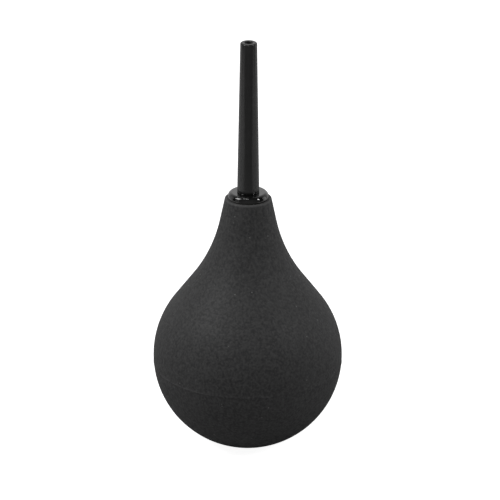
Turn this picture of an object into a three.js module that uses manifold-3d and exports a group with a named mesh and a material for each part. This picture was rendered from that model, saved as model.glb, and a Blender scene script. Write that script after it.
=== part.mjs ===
// Rubber blower bulb with a screw-in nozzle.
// Four pieces on one vertical axis: a hollow rubber bulb, a hard collar held in its neck by barbs,
// a nozzle that screws into the collar, and a sealing ring under the nozzle's shoulder.
// Millimetres, +Z up, origin at the middle of the flat base.

import * as THREE from 'three';
import { mergeVertices } from 'three/addons/utils/BufferGeometryUtils.js';
import Module from 'manifold-3d';

const wasm = await Module();
wasm.setup();

// ---- driving dimensions ----

const total_height = 150;

const bulb = {
  radius: 33.78, // sphere
  base_radius: 10, // flat that it stands on
  wall: 2,
  floor: 2.5,
  shoulder_angle: 37.15, // degrees above the sphere's equator where the straight shoulder starts
  rim_z: 92.3,
  rim_radius: 8.3,
  rim_corner: 0.3,
  neck_slope: 0.204, // radius gained per mm going down the neck
  neck_fillet: 55.5,
  bore_radius: 5.9,
  bore_fillet: 14,
  mouth_chamfer: 0.4,
};

const collar = {
  top_z: 94.65,
  flat_radius: 5.8, // flat part of the flange's top
  flange_radius: 7.27,
  widest_z: 92.75, // height at which the flange is widest
  foot_radius: 7.0,
  sleeve_gap: 0.1, // to the rubber around the sleeve
  sleeve_bottom_z: 82.6,
  barb_tops: [89.6, 86.2],
  barb_height: 1.9,
  barb_lip: 0.3, // upright edge below the barb's flat top
  barb_depth: 0.55,
  seat_z: 94.05, // floor of the counterbore that holds the ring
  seat_radius: 3.8,
  lead_in: 0.5,
};

const thread = {
  pitch: 1.5,
  root_radius: 2.1, // nozzle stub
  crest_radius: 2.7,
  root_half_width: 0.47,
  crest_half_width: 0.17,
  flank_gap: 0.13,
  crest_gap: 0.2,
  minor_radius: 2.4, // collar's bore
  overlap: 0.2, // how far a ridge reaches past the surface that it is joined to or cut from
  male_from: 87.3,
  male_to: 93.3,
  female_from: 85.6,
  female_to: 95.2, // runs out past the seat
  steps_per_turn: 18,
  run_out: 0.3, // turns over which a thread fades in and out
  end_height: 0.15, // share of its full height that a ridge has at its very ends
};

const nozzle = {
  shoulder_z: 94.9,
  shoulder_radius: 3.9,
  shoulder_corner: 0.2,
  tip_radius: 2.96,
  tip_outer_corner: 0.5,
  tip_inner_corner: 0.45,
  bore_radius: 1.35,
  stub_bottom_z: 86.7,
  stub_chamfer: 0.3,
};

const ring = {
  inner_radius: 2.35,
  outer_radius: 3.7,
  slack: 0.01, // kept to the seat and to the shoulder
};

const sleeve_radius = bulb.bore_radius - collar.sleeve_gap;

const bulb_sides = 56;
const small_sides = 36;

const rubber = { color: 0x2b2b2b, roughness: 0.78, metalness: 0 };
const satin_plastic = { color: 0x262626, roughness: 0.42, metalness: 0 };
const gloss_plastic = { color: 0x101010, roughness: 0.12, metalness: 0 };
const ring_rubber = { color: 0x161616, roughness: 0.4, metalness: 0 };

// ---- outlines: lists of (radius, height) points ----

const point = (radius, height) => new THREE.Vector2(radius, height);
const radians = THREE.MathUtils.degToRad;

// Points on an ellipse's arc, both ends included; angles in degrees from the +radius direction.
function arc(centre, radius_r, radius_z, from, to, steps) {
  const points = [];
  for (let i = 0; i <= steps; i++) {
    const angle = radians(from + ((to - from) * i) / steps);
    points.push(point(centre.x + radius_r * Math.cos(angle), centre.y + radius_z * Math.sin(angle)));
  }
  return points;
}

// A round corner between two straight lines, each given by a point and an upward unit direction.
// The corner bulges towards the axis, so its centre is on the outer side.
function hollow_corner(low, low_dir, high, high_dir, radius, steps) {
  const cross = low_dir.x * high_dir.y - low_dir.y * high_dir.x;
  const gap = high.clone().sub(low);
  const along = (gap.x * high_dir.y - gap.y * high_dir.x) / cross;
  const meet = low.clone().addScaledVector(low_dir, along);
  const turn = Math.acos(low_dir.dot(high_dir));
  const start = meet.clone().addScaledVector(low_dir, -radius * Math.tan(turn / 2));
  const outward = point(low_dir.y, -low_dir.x);
  const centre = start.clone().addScaledVector(outward, radius);
  const from = THREE.MathUtils.radToDeg(Math.atan2(-outward.y, -outward.x)) + 360;
  const to = from - THREE.MathUtils.radToDeg(turn);
  return arc(centre, radius, radius, from, to, steps);
}

function bulb_outline() {
  const b = bulb;
  const centre = point(0, Math.sqrt(b.radius ** 2 - b.base_radius ** 2));
  const inner_radius = b.radius - b.wall;
  const shoulder = radians(b.shoulder_angle);
  const up_shoulder = point(-Math.sin(shoulder), Math.cos(shoulder));
  const up_neck = point(-b.neck_slope, 1).normalize();
  const straight_up = point(0, 1);

  const base_angle = -THREE.MathUtils.radToDeg(Math.acos(b.base_radius / b.radius));
  const outside = arc(centre, b.radius, b.radius, base_angle, b.shoulder_angle, 15);
  const neck = hollow_corner(
    outside.at(-1), up_shoulder, point(b.rim_radius, b.rim_z), up_neck, b.neck_fillet, 6);

  const corner = point(b.rim_radius - b.rim_corner, b.rim_z - b.rim_corner);
  const rim = arc(corner, b.rim_corner, b.rim_corner, 10, 90, 3);
  const mouth = [
    point(b.bore_radius + b.mouth_chamfer, b.rim_z),
    point(b.bore_radius, b.rim_z - b.mouth_chamfer),
  ];
  const grooves = collar.barb_tops.flatMap((top) => barb(top, collar.sleeve_gap, b.bore_radius));

  const floor_radius = Math.sqrt(inner_radius ** 2 - (centre.y - b.floor) ** 2);
  const floor_angle = -THREE.MathUtils.radToDeg(Math.acos(floor_radius / inner_radius));
  const inside = arc(centre, inner_radius, inner_radius, floor_angle, b.shoulder_angle, 11);
  const throat = hollow_corner(
    inside.at(-1), up_shoulder, point(b.bore_radius, b.rim_z), straight_up, b.bore_fillet, 4);

  return [
    point(0, 0), ...outside, ...neck, ...rim, ...mouth, ...grooves,
    ...throat.reverse(), ...inside.reverse(), point(0, b.floor),
  ];
}

// One barb from its flat top down to where its slope runs out, grown by a gap for the groove around it.
function barb(top, gap, root_radius) {
  const tip_radius = sleeve_radius + collar.barb_depth + gap;
  return [
    point(root_radius, top + gap),
    point(tip_radius, top + gap),
    point(tip_radius, top - collar.barb_lip - gap),
    point(root_radius, top - collar.barb_height - gap),
  ];
}

function collar_outline() {
  const c = collar;
  const shoulder = point(c.flat_radius, c.widest_z);
  const flange_top = arc(shoulder, c.flange_radius - c.flat_radius, c.top_z - c.widest_z, 0, 90, 7);
  const barbs = [...c.barb_tops].reverse().flatMap((top) => barb(top, 0, sleeve_radius).reverse());
  return [
    point(thread.minor_radius, c.sleeve_bottom_z),
    point(sleeve_radius - c.lead_in, c.sleeve_bottom_z),
    point(sleeve_radius, c.sleeve_bottom_z + c.lead_in),
    ...barbs,
    point(sleeve_radius, bulb.rim_z),
    point(c.foot_radius, bulb.rim_z),
    ...flange_top,
    point(c.seat_radius, c.top_z),
    point(c.seat_radius, c.seat_z),
    point(thread.minor_radius, c.seat_z),
    point(thread.minor_radius, c.sleeve_bottom_z),
  ];
}

function nozzle_outline() {
  const n = nozzle;
  const stub = [
    point(n.bore_radius, n.stub_bottom_z),
    point(thread.root_radius - n.stub_chamfer, n.stub_bottom_z),
    point(thread.root_radius, n.stub_bottom_z + n.stub_chamfer),
    point(thread.root_radius, n.shoulder_z),
  ];
  const shoulder = arc(
    point(n.shoulder_radius - n.shoulder_corner, n.shoulder_z + n.shoulder_corner),
    n.shoulder_corner, n.shoulder_corner, -90, 0, 3);
  const tip_outside = arc(
    point(n.tip_radius - n.tip_outer_corner, total_height - n.tip_outer_corner),
    n.tip_outer_corner, n.tip_outer_corner, 0, 90, 5);
  const tip_inside = arc(
    point(n.bore_radius + n.tip_inner_corner, total_height - n.tip_inner_corner),
    n.tip_inner_corner, n.tip_inner_corner, 90, 180, 4);
  return [...stub, ...shoulder, ...tip_outside, ...tip_inside, point(n.bore_radius, n.stub_bottom_z)];
}

function ring_outline() {
  const middle_radius = (ring.inner_radius + ring.outer_radius) / 2;
  const middle_z = (collar.seat_z + nozzle.shoulder_z) / 2;
  const half_width = (ring.outer_radius - ring.inner_radius) / 2;
  const half_height = (nozzle.shoulder_z - collar.seat_z) / 2 - ring.slack;
  const outline = arc(point(middle_radius, middle_z), half_width, half_height, -180, 180, 12);
  outline[outline.length - 1] = outline[0].clone();
  return outline;
}

// ---- solids ----

// Turns an outline about +Z.
function turned(outline, sides) {
  return new THREE.LatheGeometry(outline, sides).rotateX(Math.PI / 2);
}

// A screw ridge: a section of (height, radius) points extruded straight, then wound on a helix.
// The extrusion's depth is the angle in turns. At both ends the ridge fades down to its root.
function screw_ridge(inner_radius, outer_radius, inner_half, outer_half, from_z, to_z) {
  const turns = (to_z - from_z) / thread.pitch;
  const steps = Math.round(turns * thread.steps_per_turn);
  const section = new THREE.Shape([
    new THREE.Vector2(-inner_half, inner_radius),
    new THREE.Vector2(-outer_half, outer_radius),
    new THREE.Vector2(outer_half, outer_radius),
    new THREE.Vector2(inner_half, inner_radius),
  ]);
  const ridge = new THREE.ExtrudeGeometry(section, { depth: turns, steps, bevelEnabled: false });
  const position = ridge.attributes.position;
  for (let i = 0; i < position.count; i++) {
    const turn = position.getZ(i);
    const turns_in = Math.min(turn, turns - turn);
    const fade = Math.min(1, thread.end_height + turns_in / thread.run_out);
    const radius = inner_radius + (position.getY(i) - inner_radius) * fade;
    // Counted from z = 0, so that every ridge lies on one and the same helix.
    const angle = 2 * Math.PI * (from_z / thread.pitch + turn);
    const height = from_z + thread.pitch * turn + position.getX(i);
    position.setXYZ(i, radius * Math.cos(angle), radius * Math.sin(angle), height);
  }
  return ridge;
}

// How much a ridge narrows on each side per mm of radius.
function flank_slope() {
  return (thread.root_half_width - thread.crest_half_width) / (thread.crest_radius - thread.root_radius);
}

// The nozzle's thread starts a little inside the stub, so that it joins it.
function male_thread() {
  const t = thread;
  return screw_ridge(
    t.root_radius - t.overlap, t.crest_radius,
    t.root_half_width + t.overlap * flank_slope(), t.crest_half_width, t.male_from, t.male_to);
}

// What is cut out of the collar: the nozzle's thread, grown by the running gaps.
function female_thread() {
  const t = thread;
  const half_width = (radius) => {
    return t.root_half_width + t.flank_gap - (radius - t.root_radius) * flank_slope();
  };
  const inner_radius = t.minor_radius - t.overlap;
  const outer_radius = t.crest_radius + t.crest_gap;
  return screw_ridge(
    inner_radius, outer_radius, half_width(inner_radius), half_width(outer_radius),
    t.female_from, t.female_to);
}

function to_solid(geometry) {
  const bare = geometry.clone();
  bare.deleteAttribute('normal');
  bare.deleteAttribute('uv');
  const merged = mergeVertices(bare, 1e-5);
  return new wasm.Manifold(new wasm.Mesh({
    numProp: 3,
    vertProperties: new Float32Array(merged.attributes.position.array),
    triVerts: new Uint32Array(merged.index.array),
  }));
}

function from_solid(solid) {
  const mesh = solid.getMesh();
  const geometry = new THREE.BufferGeometry();
  geometry.setAttribute('position', new THREE.BufferAttribute(mesh.vertProperties, 3));
  geometry.setIndex(new THREE.BufferAttribute(mesh.triVerts, 1));
  geometry.computeVertexNormals();
  return geometry;
}

function collar_geometry() {
  const blank = to_solid(turned(collar_outline(), small_sides));
  return from_solid(blank.subtract(to_solid(female_thread())));
}

function nozzle_geometry() {
  const blank = to_solid(turned(nozzle_outline(), small_sides));
  return from_solid(blank.add(to_solid(male_thread())));
}

// ---- the assembly ----

function piece(name, geometry, look) {
  const mesh = new THREE.Mesh(geometry, new THREE.MeshStandardMaterial(look));
  mesh.name = name;
  return mesh;
}

const blower_bulb = new THREE.Group();
blower_bulb.add(
  piece('bulb', turned(bulb_outline(), bulb_sides), rubber),
  piece('collar', collar_geometry(), gloss_plastic),
  piece('o_ring', turned(ring_outline(), small_sides), ring_rubber),
  piece('nozzle', nozzle_geometry(), satin_plastic),
);

export default blower_bulb;
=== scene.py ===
"""Looks for the blower bulb: a matt rubber bulb, a polished collar, a sealing ring and a satin nozzle.

Every piece is turned about the vertical axis from an outline, at a finer resolution than the CAD solid
that it stands for, with rounded corners and real screw threads. Metres, in the CAD's frame.
"""

import math

import bpy
import numpy as np
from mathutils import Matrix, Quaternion, Vector


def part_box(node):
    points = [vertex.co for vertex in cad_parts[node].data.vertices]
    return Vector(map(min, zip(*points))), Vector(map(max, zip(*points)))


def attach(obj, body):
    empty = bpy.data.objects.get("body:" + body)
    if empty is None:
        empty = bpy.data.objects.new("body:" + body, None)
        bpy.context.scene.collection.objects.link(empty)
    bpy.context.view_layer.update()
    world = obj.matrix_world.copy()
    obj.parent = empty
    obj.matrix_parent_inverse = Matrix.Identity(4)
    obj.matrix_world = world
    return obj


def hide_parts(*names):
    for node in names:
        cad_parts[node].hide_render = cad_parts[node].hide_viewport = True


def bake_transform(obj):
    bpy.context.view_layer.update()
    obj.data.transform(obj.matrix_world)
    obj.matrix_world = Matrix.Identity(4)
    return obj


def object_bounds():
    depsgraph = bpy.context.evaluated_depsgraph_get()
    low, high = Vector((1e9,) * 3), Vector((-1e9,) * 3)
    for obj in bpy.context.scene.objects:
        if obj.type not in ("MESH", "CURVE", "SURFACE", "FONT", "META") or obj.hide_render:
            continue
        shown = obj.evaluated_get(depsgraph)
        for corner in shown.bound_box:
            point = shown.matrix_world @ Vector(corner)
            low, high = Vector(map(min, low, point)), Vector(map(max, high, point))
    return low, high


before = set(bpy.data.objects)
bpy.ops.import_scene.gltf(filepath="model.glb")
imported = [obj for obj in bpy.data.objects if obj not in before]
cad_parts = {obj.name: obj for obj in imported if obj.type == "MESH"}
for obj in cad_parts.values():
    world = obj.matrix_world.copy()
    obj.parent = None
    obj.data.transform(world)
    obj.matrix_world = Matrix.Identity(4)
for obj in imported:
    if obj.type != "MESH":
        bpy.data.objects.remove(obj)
cad_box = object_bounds()

MM = 0.001

# ---- sizes: outer ones come from the CAD pieces' boxes, the rest are the CAD's own ----

BULB_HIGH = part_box("bulb")[1]
COLLAR_LOW, COLLAR_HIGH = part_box("collar")
RING_LOW, RING_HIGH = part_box("o_ring")
NOZZLE_LOW, NOZZLE_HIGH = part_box("nozzle")

BULB_RADIUS = BULB_HIGH.x
BULB_RIM_Z = BULB_HIGH.z
BASE_RADIUS = 10 * MM
BASE_CORNER = 4 * MM
WALL = 2 * MM
FLOOR = 2.5 * MM  # thickness of the rubber at the base
SHOULDER_ANGLE = 37.15  # degrees round the sphere from its equator to where the shoulder begins
RIM_RADIUS = 8.3 * MM
RIM_CORNER = 0.35 * MM
RIM_ARC_START = 12  # degrees; the neck's slope at the rim
MOUTH_CHAMFER = 0.4 * MM
NECK_SLOPE = 0.204  # radius lost for each height gained
NECK_FILLET = 55.5 * MM
BORE_RADIUS = 5.9 * MM
BORE_FILLET = 14 * MM
PARTING_ANGLE = -4  # degrees round the sphere from its equator: the ridge that the mould's joint left
PARTING_HEIGHT = 0.08 * MM
PARTING_HALF_ANGLE = 0.3
PARTING_CREST_HALF_ANGLE = 0.1

SLEEVE_RADIUS = 5.8 * MM
BARB_TOPS = (89.6 * MM, 86.2 * MM)
BARB_HEIGHT = 1.9 * MM
BARB_LIP = 0.3 * MM
BARB_DEPTH = 0.55 * MM
SLEEVE_GAP = 0.1 * MM  # between the barbs and their grooves in the rubber
LEAD_IN = 0.5 * MM
FLANGE_FLAT_RADIUS = 5.8 * MM
FLANGE_WIDEST_Z = 92.75 * MM
FLANGE_FOOT_RADIUS = 7.0 * MM
SEAT_Z = 94.05 * MM
SEAT_RADIUS = 3.8 * MM
COLLAR_EDGE = 0.12 * MM  # rounding of the collar's corners

PITCH = 1.5 * MM
THREAD_ROOT = 2.1 * MM
THREAD_CREST = 2.7 * MM
THREAD_MINOR = 2.4 * MM
THREAD_MAJOR = 2.9 * MM
ROOT_HALF_WIDTH = 0.47 * MM
CREST_HALF_WIDTH = 0.17 * MM
FLANK_GAP = 0.13 * MM
MALE_SPAN = (87.3 * MM, 93.3 * MM)
FEMALE_SPAN = (85.6 * MM, 95.2 * MM)
RUN_OUT_TURNS = 0.3  # a ridge grows to its full height over this share of a turn
END_HEIGHT = 0.15  # share of its full height that a ridge has at its very ends
THREAD_STEP = 0.08 * MM  # spacing of a threaded surface's rows

SHOULDER_Z = 94.9 * MM
TIP_RADIUS = 2.96 * MM
TIP_OUTER_CORNER = 0.5 * MM
TIP_INNER_CORNER = 0.45 * MM
NOZZLE_BORE = 1.35 * MM
STUB_CHAMFER = 0.3 * MM
STUB_PLAIN = 1 * MM  # unthreaded stretch of the stub below the shoulder
NOZZLE_EDGE = 0.2 * MM  # rounding of the stub's and the shoulder's corners

RING_INNER_RADIUS = 2.35 * MM

CONTACT_GAP = 0.02 * MM  # kept between pieces that touch
END_STRAIGHT = 1 * MM  # first and last stretch of an outline that closes inside a bore
BULB_SIDES = 224
SMALL_SIDES = 128
BULB_ROW = 1.1 * MM  # longest spacing of the rows of points on each piece
COLLAR_ROW = 0.6 * MM
NOZZLE_ROW = 1.5 * MM
SHARP_TURN = 12  # degrees; smaller turns of an outline count as smooth
SAME_POINT = 1e-9

# ---- outlines: lists of (radius, height) points ----


def arc(centre, radius_r, radius_z, start, stop, steps):
    """Points on an ellipse's arc, both ends included; angles in degrees from the +radius direction."""
    angles = np.radians(np.linspace(start, stop, steps + 1))
    return [(centre[0] + radius_r * math.cos(a), centre[1] + radius_z * math.sin(a)) for a in angles]


def hollow_corner(low, low_dir, high, high_dir, radius, steps):
    """A round corner between two straight lines, bulging towards the axis. The directions point up."""
    cross = low_dir[0] * high_dir[1] - low_dir[1] * high_dir[0]
    along = ((high[0] - low[0]) * high_dir[1] - (high[1] - low[1]) * high_dir[0]) / cross
    meet = np.add(low, np.multiply(low_dir, along))
    turn = math.acos(np.dot(low_dir, high_dir))
    start = meet - np.multiply(low_dir, radius * math.tan(turn / 2))
    outward = np.array([low_dir[1], -low_dir[0]])
    centre = start + outward * radius
    first = math.degrees(math.atan2(-outward[1], -outward[0])) + 360
    return arc(centre, radius, radius, first, first - math.degrees(turn), steps)


def rounded(outline, radius, steps=3):
    """The outline with every sharp corner rounded, as far as its sides allow."""
    most_of_side = 0.45
    points = np.array(outline)
    result = [tuple(points[0])]
    for before, here, after in zip(points[:-2], points[1:-1], points[2:]):
        back, ahead = before - here, after - here
        back_length, ahead_length = np.hypot(*back), np.hypot(*ahead)
        back, ahead = back / back_length, ahead / ahead_length
        turn = math.pi - math.acos(np.clip(np.dot(back, ahead), -1, 1))
        if turn < math.radians(SHARP_TURN):
            result.append(tuple(here))
            continue
        cut = min(radius * math.tan(turn / 2), most_of_side * min(back_length, ahead_length))
        first, last = here + back * cut, here + ahead * cut
        for t in np.linspace(0, 1, steps + 1):
            result.append(tuple((1 - t) ** 2 * first + 2 * t * (1 - t) * here + t**2 * last))
    return result + [tuple(points[-1])]


def refined(outline, longest):
    """The outline with its long straight stretches divided."""
    result = [outline[0]]
    for start, stop in zip(outline[:-1], outline[1:]):
        parts = max(1, math.ceil(math.dist(start, stop) / longest))
        for t in np.linspace(0, 1, parts + 1)[1:]:
            result.append(tuple(np.add(np.multiply(start, 1 - t), np.multiply(stop, t))))
    return result


def barb(top, gap, root_radius):
    """One barb from its flat top to where its slope runs out, grown by gap for the groove around it."""
    tip_radius = SLEEVE_RADIUS + BARB_DEPTH + gap
    return [
        (root_radius, top + gap),
        (tip_radius, top + gap),
        (tip_radius, top - BARB_LIP - gap),
        (root_radius, top - BARB_HEIGHT - gap),
    ]


def bulb_centre_z():
    return math.sqrt(BULB_RADIUS**2 - BASE_RADIUS**2)


def bulb_outline():
    centre = (0, bulb_centre_z())
    inner_radius = BULB_RADIUS - WALL
    shoulder = math.radians(SHOULDER_ANGLE)
    up_shoulder = (-math.sin(shoulder), math.cos(shoulder))
    up_neck = tuple(np.array([-NECK_SLOPE, 1]) / math.hypot(NECK_SLOPE, 1))
    rim_point = (RIM_RADIUS, BULB_RIM_Z)

    base_angle = -math.degrees(math.acos(BASE_RADIUS / BULB_RADIUS))
    ridge_foot = (PARTING_ANGLE - PARTING_HALF_ANGLE, PARTING_ANGLE + PARTING_HALF_ANGLE)
    ridge_top = (PARTING_ANGLE - PARTING_CREST_HALF_ANGLE, PARTING_ANGLE + PARTING_CREST_HALF_ANGLE)
    ridge_radius = BULB_RADIUS + PARTING_HEIGHT
    lower = arc(centre, BULB_RADIUS, BULB_RADIUS, base_angle, ridge_foot[0], steps=40)
    ridge = arc(centre, ridge_radius, ridge_radius, *ridge_top, steps=1)
    upper = arc(centre, BULB_RADIUS, BULB_RADIUS, ridge_foot[1], SHOULDER_ANGLE, steps=26)
    outside = lower + ridge + upper
    neck = hollow_corner(outside[-1], up_shoulder, rim_point, up_neck, NECK_FILLET, steps=26)
    rim_centre = (RIM_RADIUS - RIM_CORNER, BULB_RIM_Z - RIM_CORNER)
    rim = arc(rim_centre, RIM_CORNER, RIM_CORNER, RIM_ARC_START, 90, steps=6)
    mouth = [(BORE_RADIUS + MOUTH_CHAMFER, BULB_RIM_Z), (BORE_RADIUS, BULB_RIM_Z - MOUTH_CHAMFER)]
    grooves = [p for top in BARB_TOPS for p in barb(top, SLEEVE_GAP, BORE_RADIUS)]

    floor_angle = -math.degrees(math.asin((centre[1] - FLOOR) / inner_radius))
    inside = arc(centre, inner_radius, inner_radius, floor_angle, SHOULDER_ANGLE, steps=48)
    mouth_point = (BORE_RADIUS, BULB_RIM_Z)
    throat = hollow_corner(inside[-1], up_shoulder, mouth_point, (0, 1), BORE_FILLET, steps=12)

    # the base's round corner takes the place of the sphere's first points
    base = rounded([(0, 0), outside[0], outside[2]], BASE_CORNER, steps=6)
    outline = base + outside[3:] + neck + rim + mouth + grooves
    outline += throat[::-1] + inside[::-1] + [(0, FLOOR)]
    return refined(outline, BULB_ROW)


def collar_outline():
    flange_shoulder = (FLANGE_FLAT_RADIUS, FLANGE_WIDEST_Z)
    flange_width = COLLAR_HIGH.x - FLANGE_FLAT_RADIUS
    flange_height = COLLAR_HIGH.z - FLANGE_WIDEST_Z
    flange = arc(flange_shoulder, flange_width, flange_height, 0, 90, steps=20)
    barbs = [p for top in reversed(BARB_TOPS) for p in reversed(barb(top, 0, SLEEVE_RADIUS))]
    foot_z = BULB_RIM_Z + CONTACT_GAP
    bottom = COLLAR_LOW.z
    outline = [(THREAD_MINOR, bottom + END_STRAIGHT), (THREAD_MINOR, bottom)]
    outline += [(SLEEVE_RADIUS - LEAD_IN, bottom), (SLEEVE_RADIUS, bottom + LEAD_IN)] + barbs
    outline += [(SLEEVE_RADIUS, foot_z), (FLANGE_FOOT_RADIUS, foot_z)] + flange
    outline += [(SEAT_RADIUS, COLLAR_HIGH.z), (SEAT_RADIUS, SEAT_Z), (THREAD_MINOR, SEAT_Z)]
    outline = rounded(outline + [(THREAD_MINOR, SEAT_Z - END_STRAIGHT)], COLLAR_EDGE)
    bore = refined([outline[-1], outline[0]], THREAD_STEP)
    return refined(outline, COLLAR_ROW) + bore[1:]


def nozzle_outline():
    shoulder_radius = NOZZLE_HIGH.x
    bottom, tip = NOZZLE_LOW.z, NOZZLE_HIGH.z
    stub = [
        (THREAD_ROOT - STUB_CHAMFER, bottom),
        (THREAD_ROOT, bottom + STUB_CHAMFER),
        (THREAD_ROOT, SHOULDER_Z),
        (shoulder_radius, SHOULDER_Z),
    ]
    outer_centre = (TIP_RADIUS - TIP_OUTER_CORNER, tip - TIP_OUTER_CORNER)
    inner_centre = (NOZZLE_BORE + TIP_INNER_CORNER, tip - TIP_INNER_CORNER)
    tip_outside = arc(outer_centre, TIP_OUTER_CORNER, TIP_OUTER_CORNER, 0, 90, steps=10)
    tip_inside = arc(inner_centre, TIP_INNER_CORNER, TIP_INNER_CORNER, 90, 180, steps=8)
    bore_end = [(NOZZLE_BORE, bottom + END_STRAIGHT), (NOZZLE_BORE, bottom)]
    lower = rounded([*bore_end, *stub, tip_outside[0]], NOZZLE_EDGE, steps=4)
    below_shoulder = SHOULDER_Z - 1.5 * NOZZLE_EDGE
    shoulder_start = next(i for i, p in enumerate(lower) if p[1] > below_shoulder)
    threaded = refined(lower[:shoulder_start + 1], THREAD_STEP)
    above = lower[shoulder_start:-1] + tip_outside + tip_inside + [lower[0]]
    return threaded + refined(above, NOZZLE_ROW)[1:]


def ring_outline():
    half_width = (RING_HIGH.x - RING_INNER_RADIUS) / 2
    half_height = (RING_HIGH.z - RING_LOW.z) / 2
    middle = (RING_HIGH.x - half_width, (RING_HIGH.z + RING_LOW.z) / 2)
    return arc(middle, half_width, half_height, -180, 180, steps=28)


# ---- screw threads: how far the surface stands out at a height and an angle ----


def thread_rise(z, angle, span, root_half_width, crest_half_width):
    """0 away from the ridge and 1 on its crest, with both ends faded out."""
    turn_of_point = z / PITCH - angle / (2 * math.pi)
    from_ridge = (turn_of_point - round(turn_of_point)) * PITCH
    rise = (root_half_width - abs(from_ridge)) / (root_half_width - crest_half_width)
    ridge_z = z - from_ridge
    if not span[0] <= ridge_z <= span[1]:
        return 0
    turns_in = min(ridge_z - span[0], span[1] - ridge_z) / PITCH
    fade = min(1, END_HEIGHT + turns_in / RUN_OUT_TURNS)
    return fade * min(1, max(0, rise))


def male_radius(radius, z, angle):
    """The nozzle's stub grows a ridge; everything else stays."""
    on_stub = NOZZLE_BORE + CONTACT_GAP <= radius <= THREAD_ROOT + CONTACT_GAP
    if not on_stub or z > SHOULDER_Z - STUB_PLAIN:
        return radius
    rise = thread_rise(z, angle, MALE_SPAN, ROOT_HALF_WIDTH, CREST_HALF_WIDTH)
    return radius + rise * (THREAD_CREST - THREAD_ROOT)


def female_radius(radius, z, angle):
    """The collar's bore is cut by a groove that the nozzle's ridge runs in."""
    if radius > THREAD_MINOR + COLLAR_EDGE + CONTACT_GAP or z > SEAT_Z:
        return radius
    flank = (ROOT_HALF_WIDTH - CREST_HALF_WIDTH) / (THREAD_CREST - THREAD_ROOT)
    mouth = ROOT_HALF_WIDTH + FLANK_GAP - (THREAD_MINOR - THREAD_ROOT) * flank
    floor = ROOT_HALF_WIDTH + FLANK_GAP - (THREAD_MAJOR - THREAD_ROOT) * flank
    rise = thread_rise(z, angle, FEMALE_SPAN, mouth, floor)
    return max(radius, THREAD_MINOR + rise * (THREAD_MAJOR - THREAD_MINOR))


# ---- meshes ----


def turned(name, outline, sides, radius_at=None):
    """A closed surface of revolution. radius_at(radius, z, angle) may move its points in or out."""
    closed = math.dist(outline[0], outline[-1]) < SAME_POINT
    rows = outline[:-1] if closed else outline[1:-1]
    points = []
    for radius, z in rows:
        for side in range(sides):
            angle = 2 * math.pi * side / sides
            here = radius_at(radius, z, angle) if radius_at else radius
            points.append((here * math.cos(angle), here * math.sin(angle), z))

    faces = []
    for row in range(len(rows) if closed else len(rows) - 1):
        above = (row + 1) % len(rows)
        for side in range(sides):
            right = (side + 1) % sides
            low, high = row * sides, above * sides
            faces.append((low + side, low + right, high + right, high + side))
    if not closed:
        faces += poles(points, outline, len(rows), sides)

    mesh = bpy.data.meshes.new(name)
    mesh.from_pydata(points, [], faces)
    mesh.shade_smooth()
    mesh.update()
    piece = bpy.data.objects.new(name, mesh)
    bpy.context.scene.collection.objects.link(piece)
    return piece


def poles(points, outline, row_count, sides):
    """Adds the two points on the axis and returns the fans of triangles that close the surface there."""
    low, high = len(points), len(points) + 1
    points += [(0, 0, outline[0][1]), (0, 0, outline[-1][1])]
    last_row = (row_count - 1) * sides
    fans = []
    for side in range(sides):
        right = (side + 1) % sides
        fans.append((low, right, side))
        fans.append((high, last_row + side, last_row + right))
    return fans


# ---- materials ----

# Colours are linear. A level is a grey, and a share says how far it covers what lies below it at most.

MIX_COLOUR_INPUTS = (6, 7)  # a Mix node has sockets for each type of data
MIX_COLOUR_OUTPUT = 2

SPOT_CORE = 0.4  # share of a spot's radius inside which it is at its full strength
SPOT_CHOICE = 0.8  # share of the chosen cells whose spots are at their full strength

CLOUD_RANGE = (0.3, 0.7)  # what soft noise mostly lies between
PATCH_RANGE = (0.35, 0.65)
COARSE_RANGE = (0.40, 0.75)
FINE_RANGE = (0.40, 0.70)
HAZE_RANGE = (0.35, 0.7)

RUBBER_DARK = (0.026, 0.026, 0.027)
RUBBER_PALE = (0.034, 0.034, 0.035)
DUSTED_LEVEL, DUSTED_SHARE = 0.080, 0.5
POWDER_LEVEL, POWDER_SHARE = 0.082, 0.75
DUST_LEVEL, DUST_SHARE = 0.13, 0.3
SPECK_COLOUR, SPECK_SHARE = (0.24, 0.24, 0.238), 0.75
# The pale stripe along the mould's line is a painted highlight, standing in for the key light catching
# the ridge.
SEAM_HIGHLIGHT_LEVEL, SEAM_HIGHLIGHT_SHARE = 0.12, 0.6
# The rim's rounded edge is made paler: a painted highlight, standing in for the light that catches it.
RIM_HIGHLIGHT_LEVEL, RIM_HIGHLIGHT_SHARE = 0.11, 0.7
SEAM_HIGHLIGHT_HALF_WIDTH = 0.22 * MM
SEAM_HIGHLIGHT_SIDE = (-30 * MM, -15 * MM)  # where across the bulb, on the side the key light comes from, a painted highlight runs along the mould's line
SEAM_HIGHLIGHT_FADE = 4 * MM
COARSE_GRAIN_DEPTH = 0.16 * MM
FINE_GRAIN_DEPTH = 0.10 * MM


def grey(level):
    return (level, level, level)


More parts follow.
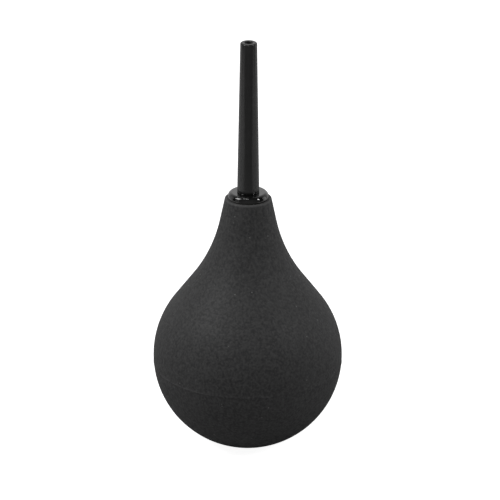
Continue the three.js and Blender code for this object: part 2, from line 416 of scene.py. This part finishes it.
class Shader:
    """A material with a Principled shader, and short ways to add and link nodes."""

    def __init__(self, name):
        self.material = bpy.data.materials.new(name)
        self.material.use_nodes = True
        self.tree = self.material.node_tree
        self.principled = self.tree.nodes["Principled BSDF"]
        self.place = self.add("ShaderNodeTexCoord").outputs["Object"]

    def add(self, kind, **settings):
        node = self.tree.nodes.new(kind)
        for key, value in settings.items():
            setattr(node, key, value)
        return node

    def link(self, source, target):
        self.tree.links.new(source, target)

    def noise(self, per_metre, detail=2, roughness=0.5):
        node = self.add("ShaderNodeTexNoise")
        node.inputs["Scale"].default_value = per_metre
        node.inputs["Detail"].default_value = detail
        node.inputs["Roughness"].default_value = roughness
        self.link(self.place, node.inputs["Vector"])
        return node.outputs["Fac"]

    def spots(self, per_metre, radius, share):
        """1 inside round spots, 0 elsewhere. The radius is in cell widths.

        Each cell has a random brightness, and only those brighter than 1 - share have a spot.
        """
        cells = self.add("ShaderNodeTexVoronoi")
        cells.inputs["Scale"].default_value = per_metre
        self.link(self.place, cells.inputs["Vector"])
        inside = self.spread(cells.outputs["Distance"], radius, radius * SPOT_CORE, 0, 1)
        chosen = self.spread(cells.outputs["Color"], 1 - share, 1 - share * SPOT_CHOICE, 0, 1)
        return self.multiply(inside, chosen)

    def band(self, axis, low, high, fade):
        """1 where the place along an axis is from low to high, 0 further off than the fade's width."""
        parts = self.add("ShaderNodeSeparateXYZ")
        self.link(self.place, parts.inputs[0])
        along = parts.outputs[axis]
        above_low = self.spread(along, low - fade, low, 0, 1)
        below_high = self.spread(along, high, high + fade, 1, 0)
        return self.multiply(above_low, below_high)

    def spread(self, source, low, high, to_low, to_high):
        """Maps source from low..high to to_low..to_high, clamped."""
        node = self.add("ShaderNodeMapRange")
        values = {"From Min": low, "From Max": high, "To Min": to_low, "To Max": to_high}
        for key, value in values.items():
            node.inputs[key].default_value = value
        self.link(source, node.inputs["Value"])
        return node.outputs["Result"]

    def multiply(self, first, second):
        """The product of a socket and either another socket or a number."""
        node = self.add("ShaderNodeMath", operation="MULTIPLY")
        self.link(first, node.inputs[0])
        if isinstance(second, float):
            node.inputs[1].default_value = second
        else:
            self.link(second, node.inputs[1])
        return node.outputs["Value"]

    def mix(self, factor, first, second):
        """Colours are tuples or sockets."""
        node = self.add("ShaderNodeMix", data_type="RGBA")
        self.link(factor, node.inputs["Factor"])
        for value, index in zip((first, second), MIX_COLOUR_INPUTS):
            if isinstance(value, tuple):
                node.inputs[index].default_value = (*value, 1)
            else:
                self.link(value, node.inputs[index])
        return node.outputs[MIX_COLOUR_OUTPUT]

    def bump(self, height, depth, strength=1, under=None):
        """Bump of the given depth in metres; under is the normal of a coarser bump below it."""
        node = self.add("ShaderNodeBump")
        node.inputs["Distance"].default_value = depth
        node.inputs["Strength"].default_value = strength
        self.link(height, node.inputs["Height"])
        if under is not None:
            self.link(under, node.inputs["Normal"])
        return node.outputs["Normal"]

    def clouded(self, cloud, low_level, high_level):
        """Two greys, mixed by a soft noise."""
        return self.mix(self.spread(cloud, *CLOUD_RANGE, 0, 1), grey(low_level), grey(high_level))

    def finish(self, colour, roughness, normal):
        self.link(colour, self.principled.inputs["Base Color"])
        self.link(roughness, self.principled.inputs["Roughness"])
        self.link(normal, self.principled.inputs["Normal"])
        return self.material


def bulb_rubber():
    """Matt black rubber: a fine powdery grain, soft cloudy patches, a few pale specks of dust, and
    painted highlights along the mould's line on the key-lit side and round the rim's edge.
    """
    s = Shader("bulb_rubber")
    cloud = s.noise(per_metre=70, detail=3)
    coarse = s.noise(per_metre=620, detail=2, roughness=0.6)
    fine = s.noise(per_metre=1250, detail=1.5, roughness=0.55)
    dust = s.spots(per_metre=800, radius=0.22, share=0.35)
    speck = s.spots(per_metre=380, radius=0.13, share=0.3)
    # painted highlight: a pale band round the top of the rim's rounded edge
    rim_highlight = s.band("Z", BULB_RIM_Z - RIM_CORNER, BULB_RIM_Z, RIM_CORNER)
    # painted highlight: a pale stripe along the mould's ridge, on the key-lit side only
    seam_z = bulb_centre_z() + BULB_RADIUS * math.sin(math.radians(PARTING_ANGLE))
    seam_highlight_line = s.band("Z", seam_z, seam_z, SEAM_HIGHLIGHT_HALF_WIDTH)
    seam_highlight = s.multiply(seam_highlight_line, s.band("X", *SEAM_HIGHLIGHT_SIDE, SEAM_HIGHLIGHT_FADE))

    base = s.mix(s.spread(cloud, *PATCH_RANGE, 0, 1), RUBBER_DARK, RUBBER_PALE)
    dusted = s.mix(s.spread(coarse, *COARSE_RANGE, 0, DUSTED_SHARE), base, grey(DUSTED_LEVEL))
    powder = s.mix(s.spread(fine, *FINE_RANGE, 0, POWDER_SHARE), dusted, grey(POWDER_LEVEL))
    dotted = s.mix(s.multiply(dust, DUST_SHARE), powder, grey(DUST_LEVEL))
    specked = s.mix(s.multiply(speck, SPECK_SHARE), dotted, SPECK_COLOUR)
    seam_highlighted = s.mix(s.multiply(seam_highlight, SEAM_HIGHLIGHT_SHARE), specked, grey(SEAM_HIGHLIGHT_LEVEL))
    colour = s.mix(s.multiply(rim_highlight, RIM_HIGHLIGHT_SHARE), seam_highlighted, grey(RIM_HIGHLIGHT_LEVEL))

    roughness = s.spread(cloud, *CLOUD_RANGE, 0.58, 0.66)
    soft = s.bump(coarse, COARSE_GRAIN_DEPTH)
    return s.finish(colour, roughness, s.bump(fine, FINE_GRAIN_DEPTH, under=soft))


def collar_plastic():
    """Polished hard black plastic, with the faint waviness of a moulding and a slight patchy haze."""
    s = Shader("collar_plastic")
    cloud = s.noise(per_metre=300)
    haze = s.noise(per_metre=1800, detail=3)
    s.principled.inputs["Coat Weight"].default_value = 0.8
    s.principled.inputs["Coat Roughness"].default_value = 0.04
    roughness = s.spread(haze, *HAZE_RANGE, 0.07, 0.14)
    normal = s.bump(cloud, 0.03 * MM, strength=0.25)
    return s.finish(s.clouded(cloud, 0.004, 0.008), roughness, normal)


def nozzle_plastic():
    """Satin black plastic, with a faint soft waviness and slightly uneven gloss."""
    s = Shader("nozzle_plastic")
    cloud = s.noise(per_metre=160, detail=3)
    roughness = s.spread(cloud, *CLOUD_RANGE, 0.14, 0.18)
    normal = s.bump(cloud, 0.01 * MM, strength=0.3)
    return s.finish(s.clouded(cloud, 0.022, 0.030), roughness, normal)


def ring_rubber():
    """Smooth sealing rubber, a little oily."""
    s = Shader("ring_rubber")
    cloud = s.noise(per_metre=700)
    roughness = s.spread(cloud, *CLOUD_RANGE, 0.12, 0.18)
    normal = s.bump(cloud, 0.02 * MM, strength=0.3)
    return s.finish(s.clouded(cloud, 0.007, 0.013), roughness, normal)


# ---- the pieces ----


def make_bulb():
    """The bulb is turned as one rigid piece; a squeeze would compress it between its base and the
    collar, with its neck staying round the sleeve.
    """
    bulb = turned("rubber_bulb", bulb_outline(), BULB_SIDES)
    bulb.data.materials.append(bulb_rubber())
    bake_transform(bulb)
    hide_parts("bulb")


def make_rigid(name, outline, radius_at, material, body, node):
    piece = turned(name, outline, SMALL_SIDES, radius_at)
    piece.data.materials.append(material)
    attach(piece, body)
    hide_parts(node)


# ---- studio: metres, degrees and watts ----

CAMERA_DISTANCE = 1.3
CAMERA_ELEVATION = 22
CAMERA_LENS = 264
CAMERA_ROLL = 0.2  # the object leans very slightly to the right
AIM_OFFSET = Vector((0.0007, 0, -0.0026))  # from the middle of the CAD box

SOFTBOXES = (  # name, azimuth, elevation, distance, width, height, power
    ("key_left", -74, 45, 1.1, 0.45, 0.45, 3.7),
    ("side_left", -64, 12, 1.1, 0.5, 0.8, 0.3),
    ("side_right", 66, 34, 1.1, 0.13, 0.34, 1.9),
    ("rim_left", -105, 8, 1.1, 0.5, 0.9, 0.4),
    ("rim_right", 105, 8, 1.1, 0.5, 0.9, 1.0),
    ("top_strip", -30, 74, 1.1, 0.45, 0.12, 1.0),
)
MATT_ROUGHNESS = 0.9
FLOOR_SIZE = 12
FLOOR_Z = -0.05 * MM
FLOOR_LEVEL = 0.9
FLOOR_GLOW = 0.92
BOUNCE_CARDS = (  # name, x, width, level of grey
    ("bounce_left", -0.33, 0.26, 0.9),
    # The middle card is a darker grey: painted shade, standing in for the floor in the bulb's shadow
    # beneath it.
    ("bounce_shaded_middle", 0, 0.4, 0.42),
    ("bounce_right", 0.33, 0.26, 0.9),
)
BOUNCE_DEPTH = 0.76
BOUNCE_Y = 0.12
BOUNCE_Z = -1 * MM  # just under the floor, which the object doesn't see
BEHIND_LEVEL = 0.66
FRONT_LEVEL = 0.19


def direction(azimuth, elevation):
    """Unit vector from the object; azimuth 0 is towards the camera and 90 towards +X, in degrees."""
    a, e = math.radians(azimuth), math.radians(elevation)
    return Vector((math.sin(a) * math.cos(e), -math.cos(a) * math.cos(e), math.sin(e)))


def make_camera(middle):
    camera = bpy.data.objects.new("camera", bpy.data.cameras.new("camera"))
    bpy.context.scene.collection.objects.link(camera)
    back = direction(0, CAMERA_ELEVATION)
    camera.location = middle + AIM_OFFSET + back * CAMERA_DISTANCE
    camera.rotation_mode = "QUATERNION"
    roll = Quaternion((0, 0, 1), math.radians(CAMERA_ROLL))
    camera.rotation_quaternion = (-back).to_track_quat("-Z", "Y") @ roll
    camera.data.lens = CAMERA_LENS
    bpy.context.scene.camera = camera


def make_softbox(middle, name, azimuth, elevation, distance, width, height, power):
    lamp = bpy.data.lights.new(name, "AREA")
    lamp.shape = "RECTANGLE"
    lamp.size, lamp.size_y = width, height
    lamp.energy = power
    box = bpy.data.objects.new(name, lamp)
    bpy.context.scene.collection.objects.link(box)
    back = direction(azimuth, elevation)
    box.location = middle + back * distance
    box.rotation_mode = "QUATERNION"
    box.rotation_quaternion = (-back).to_track_quat("-Z", "Y")


def matt_shader(name, level):
    s = Shader(name)
    s.principled.inputs["Base Color"].default_value = (*grey(level), 1)
    s.principled.inputs["Roughness"].default_value = MATT_ROUGHNESS
    s.principled.inputs["Specular IOR Level"].default_value = 0
    return s


def make_floor():
    """A pale floor that glows, so that it stays even out to the far edge of the view."""
    bpy.ops.mesh.primitive_plane_add(size=FLOOR_SIZE, location=(0, 0, FLOOR_Z))
    floor = bpy.context.object
    floor.name = "floor"
    s = matt_shader("floor", FLOOR_LEVEL)
    s.principled.inputs["Emission Color"].default_value = (1, 1, 1, 1)
    s.principled.inputs["Emission Strength"].default_value = FLOOR_GLOW
    floor.data.materials.append(s.material)
    floor.visible_diffuse = False
    floor.visible_glossy = False
    floor.visible_shadow = False


def make_bounce_card(name, x, width, level):
    """Part of what the object sees of the floor; the camera doesn't see it."""
    bpy.ops.mesh.primitive_plane_add(size=1, location=(x, BOUNCE_Y, BOUNCE_Z))
    card = bpy.context.object
    card.name = name
    card.scale = (width, BOUNCE_DEPTH, 1)
    card.data.materials.append(matt_shader(name, level).material)
    card.visible_camera = False


def make_world():
    """White light from behind and, more weakly, from in front, fading to none from the sides."""
    world = bpy.data.worlds.new("studio")
    bpy.context.scene.world = world
    world.use_nodes = True
    tree = world.node_tree
    place = tree.nodes.new("ShaderNodeTexCoord")
    parts = tree.nodes.new("ShaderNodeSeparateXYZ")
    total = tree.nodes.new("ShaderNodeMath")
    tree.nodes["Background"].inputs["Color"].default_value = (1, 1, 1, 1)
    tree.links.new(place.outputs["Generated"], parts.inputs["Vector"])
    for level, socket in zip((BEHIND_LEVEL, -FRONT_LEVEL), total.inputs):
        side = tree.nodes.new("ShaderNodeMath")
        side.operation = "MULTIPLY"
        side.use_clamp = True
        side.inputs[1].default_value = level
        tree.links.new(parts.outputs["Y"], side.inputs[0])
        tree.links.new(side.outputs["Value"], socket)
    tree.links.new(total.outputs["Value"], tree.nodes["Background"].inputs["Strength"])


# ---- build ----

middle = (cad_box[0] + cad_box[1]) / 2
make_camera(middle)

make_bulb()
make_rigid(
    "collar_body", collar_outline(), female_radius,
    collar_plastic(), "collar", "collar",
)
make_rigid(
    "sealing_ring", ring_outline(), None,
    ring_rubber(), "ring", "o_ring",
)
make_rigid(
    "nozzle_tube", nozzle_outline(), male_radius,
    nozzle_plastic(), "nozzle", "nozzle",
)

make_floor()
for card in BOUNCE_CARDS:
    make_bounce_card(*card)
make_world()
for softbox in SOFTBOXES:
    make_softbox(middle, *softbox)
bpy.context.scene.view_settings.view_transform = "Standard"
